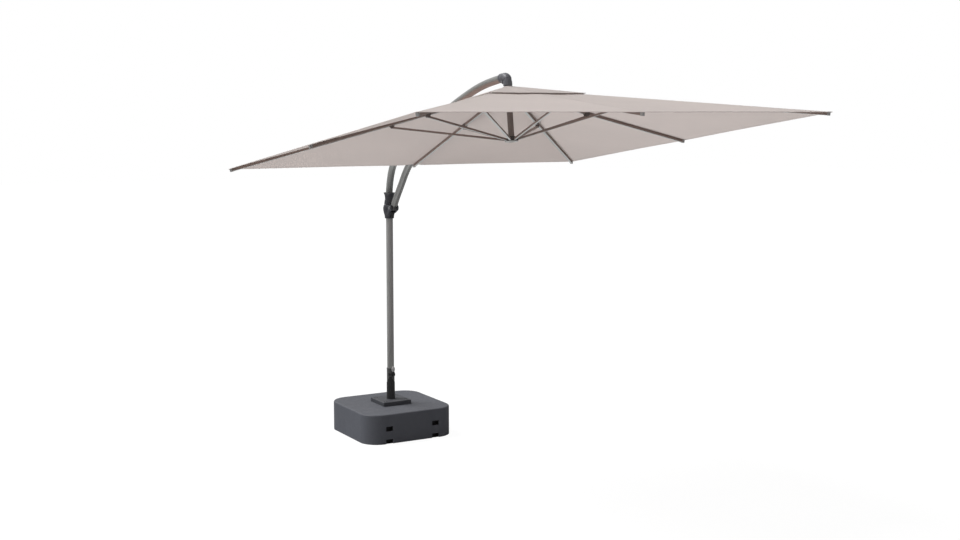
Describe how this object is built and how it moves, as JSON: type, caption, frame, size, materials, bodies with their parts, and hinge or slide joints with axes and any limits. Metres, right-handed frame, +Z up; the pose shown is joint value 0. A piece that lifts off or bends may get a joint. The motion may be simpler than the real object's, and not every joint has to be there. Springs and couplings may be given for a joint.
{
  "type": "cantilever parasol",
  "caption": "Free-standing cantilever parasol: square tilted canopy hung from a bowed boom, with a strut and slider on a swivelling mast, on a square ballast base.",
  "frame": {"origin": "centre of the base underside, on the mast axis, at floor level", "axes": "+Z up along the mast, +X from the mast towards the free edge of the canopy, +Y to the left when looking along +X"},
  "size_m": [3.8101, 3.022, 2.909],
  "materials": {
    "base_plastic": "matt, lightly grained",
    "dark_steel": "satin powder coat",
    "concrete": "cast concrete",
    "rubber": "matt",
    "plate_coat": "matt powder coat",
    "zinc": "zinc plated",
    "arm_coat_dark": "satin powder coat",
    "bush": "smooth",
    "black_plastic": "fine grain",
    "pad_grey": "smooth",
    "mast_coat": "satin powder coat",
    "housing_plastic": "satin",
    "arm_coat": "satin powder coat",
    "elbow_plastic": "satin",
    "pole_coat": "satin powder coat",
    "hub_plastic": "matt",
    "canopy_cloth": "woven polyester, matt",
    "rib_coat": "satin powder coat"
  },
  "bodies": {
    "base": {"base_cover": "base_plastic", "cross_frame": "dark_steel", "ballast_slabs": "concrete", "rubber_feet": "rubber", "mounting_plate": "plate_coat", "plate_bolts": "zinc", "socket_tube": "arm_coat_dark", "swivel_bushes": "bush", "socket_shroud": "black_plastic", "lock_collar": "black_plastic"},
    "lock_lever": {"lock_lever": "black_plastic", "lever_pad": "pad_grey"},
    "mast": {"mast_tube": "mast_coat", "mast_foot_plug": "bush", "mast_head": "housing_plastic", "boom_hinge_pin": "zinc"},
    "slider": {"slider_shell_left": "housing_plastic", "slider_shell_right": "housing_plastic", "slider_liners": "bush", "strut_foot_pin": "zinc", "lever_bracket": "housing_plastic"},
    "squeeze_lever": {"squeeze_lever": "black_plastic"},
    "boom": {"boom_tube": "arm_coat", "boom_foot": "dark_steel", "strut_bracket": "dark_steel", "boom_fork": "elbow_plastic", "elbow_pin": "zinc"},
    "strut": {"strut_tube": "arm_coat", "strut_foot": "dark_steel", "strut_head": "dark_steel", "strut_head_pin": "zinc"},
    "canopy_head": {"elbow": "elbow_plastic", "centre_pole": "pole_coat", "crown_hub": "hub_plastic", "crown_pins": "zinc", "canopy_fabric": "canopy_cloth", "vent_cap": "canopy_cloth"},
    "runner": {"runner": "hub_plastic", "runner_ring": "pad_grey"},
    "rib_1": {"rib_1": "rib_coat"},
    "rib_sleeve_1": {"rib_sleeve_1": "rib_coat"},
    "stay_1": {"stay_1": "rib_coat"},
    "rib_2": {"rib_2": "rib_coat"},
    "stay_2": {"stay_2": "rib_coat"},
    "rib_3": {"rib_3": "rib_coat"},
    "rib_sleeve_3": {"rib_sleeve_3": "rib_coat"},
    "stay_3": {"stay_3": "rib_coat"},
    "rib_4": {"rib_4": "rib_coat"},
    "stay_4": {"stay_4": "rib_coat"},
    "rib_5": {"rib_5": "rib_coat"},
    "rib_sleeve_5": {"rib_sleeve_5": "rib_coat"},
    "stay_5": {"stay_5": "rib_coat"},
    "rib_6": {"rib_6": "rib_coat"},
    "stay_6": {"stay_6": "rib_coat"},
    "rib_7": {"rib_7": "rib_coat"},
    "rib_sleeve_7": {"rib_sleeve_7": "rib_coat"},
    "stay_7": {"stay_7": "rib_coat"},
    "rib_8": {"rib_8": "rib_coat"},
    "stay_8": {"stay_8": "rib_coat"}
  },
  "joints": [
    {"name": "mast_swivel", "type": "hinge", "parent": "base", "child": "mast", "pos_m": [0, 0, 0.4], "axis": [0, 0, 1], "continuous": true},
    {"name": "swivel_lock", "type": "hinge", "parent": "base", "child": "lock_lever", "pos_m": [0.045, 0, 0.482], "axis": [0, 1, 0], "range_deg": [0, 22]},
    {"name": "boom_hinge", "type": "hinge", "parent": "mast", "child": "boom", "pos_m": [0, 0, 1.93], "axis": [0, 1, 0], "range_deg": [0, 11]},
    {"name": "slider_travel", "type": "slide", "parent": "mast", "child": "slider", "axis": [0, 0, -1], "range_m": [0, 0.03684]},
    {"name": "strut_hinge", "type": "hinge", "parent": "slider", "child": "strut", "pos_m": [0.074, 0, 1.866], "axis": [0, 1, 0], "range_deg": [0, 9.52]},
    {"name": "squeeze_trigger", "type": "hinge", "parent": "slider", "child": "squeeze_lever", "pos_m": [0.053, 0, 1.825], "axis": [0, 1, 0], "range_deg": [0, 7]},
    {"name": "canopy_tilt", "type": "hinge", "parent": "boom", "child": "canopy_head", "pos_m": [1.82608, 0, 2.84353], "axis": [0, 1, 0], "range_deg": [-25, 0]},
    {"name": "runner_slide", "type": "slide", "parent": "canopy_head", "child": "runner", "axis": [0.1376, 0, -0.9905], "range_m": [0, 1.32787]},
    {"name": "rib_1_fold", "type": "hinge", "parent": "canopy_head", "child": "rib_1", "pos_m": [1.92491, 0, 2.77891], "axis": [0, 1, 0], "range_deg": [0, 73.27], "deforming": ["canopy_fabric", "vent_cap"]},
    {"name": "sleeve_1_slide", "type": "slide", "parent": "rib_1", "child": "rib_sleeve_1", "axis": [0.9948, 0, -0.1014], "range_m": [0, 0.43307]},
    {"name": "stay_1_pivot", "type": "hinge", "parent": "rib_sleeve_1", "child": "stay_1", "pos_m": [2.52178, 0, 2.69595], "axis": [0, 1, 0], "range_deg": [-143.86, 0]},
    {"name": "rib_2_fold", "type": "hinge", "parent": "canopy_head", "child": "rib_2", "pos_m": [1.90896, 0.03889, 2.77669], "axis": [-0.7004, 0.7071, -0.0973], "range_deg": [0, 77.33]},
    {"name": "stay_2_pivot", "type": "hinge", "parent": "rib_2", "child": "stay_2", "pos_m": [2.49207, 0.60549, 2.69695], "axis": [-0.7004, 0.7071, -0.0973], "range_deg": [-153.44, 0]},
    {"name": "rib_3_fold", "type": "hinge", "parent": "canopy_head", "child": "rib_3", "pos_m": [1.87044, 0.055, 2.77134], "axis": [-0.9905, 0, -0.1376], "range_deg": [0, 73.29]},
    {"name": "sleeve_3_slide", "type": "slide", "parent": "rib_3", "child": "rib_sleeve_3", "axis": [0.0326, 0.9714, -0.2351], "range_m": [0, 0.43307]},
    {"name": "stay_3_pivot", "type": "hinge", "parent": "rib_sleeve_3", "child": "stay_3", "pos_m": [1.89304, 0.63478, 2.60862], "axis": [-0.9905, 0, -0.1376], "range_deg": [-143.86, 0]},
    {"name": "rib_4_fold", "type": "hinge", "parent": "canopy_head", "child": "rib_4", "pos_m": [1.83192, 0.03889, 2.76599], "axis": [-0.7004, -0.7071, -0.0973], "range_deg": [0, 77.33]},
    {"name": "stay_4_pivot", "type": "hinge", "parent": "rib_4", "child": "stay_4", "pos_m": [1.29261, 0.60549, 2.53035], "axis": [-0.7004, -0.7071, -0.0973], "range_deg": [-153.44, 0]},
    {"name": "rib_5_fold", "type": "hinge", "parent": "canopy_head", "child": "rib_5", "pos_m": [1.81596, 0, 2.76378], "axis": [0, -1, 0], "range_deg": [0, 73.29]},
    {"name": "sleeve_5_slide", "type": "slide", "parent": "rib_5", "child": "rib_sleeve_5", "axis": [-0.9295, 0, -0.3687], "range_m": [0, 0.43307]},
    {"name": "stay_5_pivot", "type": "hinge", "parent": "rib_sleeve_5", "child": "stay_5", "pos_m": [1.26429, 0, 2.5213], "axis": [0, -1, 0], "range_deg": [-143.86, 0]},
    {"name": "rib_6_fold", "type": "hinge", "parent": "canopy_head", "child": "rib_6", "pos_m": [1.83192, -0.03889, 2.76599], "axis": [0.7004, -0.7071, 0.0973], "range_deg": [0, 77.33]},
    {"name": "stay_6_pivot", "type": "hinge", "parent": "rib_6", "child": "stay_6", "pos_m": [1.29261, -0.60549, 2.53035], "axis": [0.7004, -0.7071, 0.0973], "range_deg": [-153.44, 0]},
    {"name": "rib_7_fold", "type": "hinge", "parent": "canopy_head", "child": "rib_7", "pos_m": [1.87044, -0.055, 2.77134], "axis": [0.9905, 0, 0.1376], "range_deg": [0, 73.29]},
    {"name": "sleeve_7_slide", "type": "slide", "parent": "rib_7", "child": "rib_sleeve_7", "axis": [0.0326, -0.9714, -0.2351], "range_m": [0, 0.43307]},
    {"name": "stay_7_pivot", "type": "hinge", "parent": "rib_sleeve_7", "child": "stay_7", "pos_m": [1.89304, -0.63478, 2.60862], "axis": [0.9905, 0, 0.1376], "range_deg": [-143.86, 0]},
    {"name": "rib_8_fold", "type": "hinge", "parent": "canopy_head", "child": "rib_8", "pos_m": [1.90896, -0.03889, 2.77669], "axis": [0.7004, 0.7071, 0.0973], "range_deg": [0, 77.33]},
    {"name": "stay_8_pivot", "type": "hinge", "parent": "rib_8", "child": "stay_8", "pos_m": [2.49207, -0.60549, 2.69695], "axis": [0.7004, 0.7071, 0.0973], "range_deg": [-153.44, 0]}
  ],
  "couplings": [
    {"joint": "slider_travel", "follows": "boom_hinge", "m_per_rad": 0.19086},
    {"joint": "strut_hinge", "follows": "boom_hinge", "ratio": 0.86319},
    {"joint": "runner_slide", "follows": "rib_1_fold", "m_per_rad": 1.0379},
    {"joint": "sleeve_1_slide", "follows": "rib_1_fold", "m_per_rad": 0.33849},
    {"joint": "stay_1_pivot", "follows": "rib_1_fold", "ratio": -1.9627},
    {"joint": "rib_2_fold", "follows": "rib_1_fold", "ratio": 1.055},
    {"joint": "stay_2_pivot", "follows": "rib_1_fold", "ratio": -2.0935},
    {"joint": "rib_3_fold", "follows": "rib_1_fold", "ratio": 1},
    {"joint": "sleeve_3_slide", "follows": "rib_1_fold", "m_per_rad": 0.33849},
    {"joint": "stay_3_pivot", "follows": "rib_1_fold", "ratio": -1.9627},
    {"joint": "rib_4_fold", "follows": "rib_1_fold", "ratio": 1.055},
    {"joint": "stay_4_pivot", "follows": "rib_1_fold", "ratio": -2.0935},
    {"joint": "rib_5_fold", "follows": "rib_1_fold", "ratio": 1},
    {"joint": "sleeve_5_slide", "follows": "rib_1_fold", "m_per_rad": 0.33849},
    {"joint": "stay_5_pivot", "follows": "rib_1_fold", "ratio": -1.9627},
    {"joint": "rib_6_fold", "follows": "rib_1_fold", "ratio": 1.055},
    {"joint": "stay_6_pivot", "follows": "rib_1_fold", "ratio": -2.0935},
    {"joint": "rib_7_fold", "follows": "rib_1_fold", "ratio": 1},
    {"joint": "sleeve_7_slide", "follows": "rib_1_fold", "m_per_rad": 0.33849},
    {"joint": "stay_7_pivot", "follows": "rib_1_fold", "ratio": -1.9627},
    {"joint": "rib_8_fold", "follows": "rib_1_fold", "ratio": 1.055},
    {"joint": "stay_8_pivot", "follows": "rib_1_fold", "ratio": -2.0935}
  ]
}
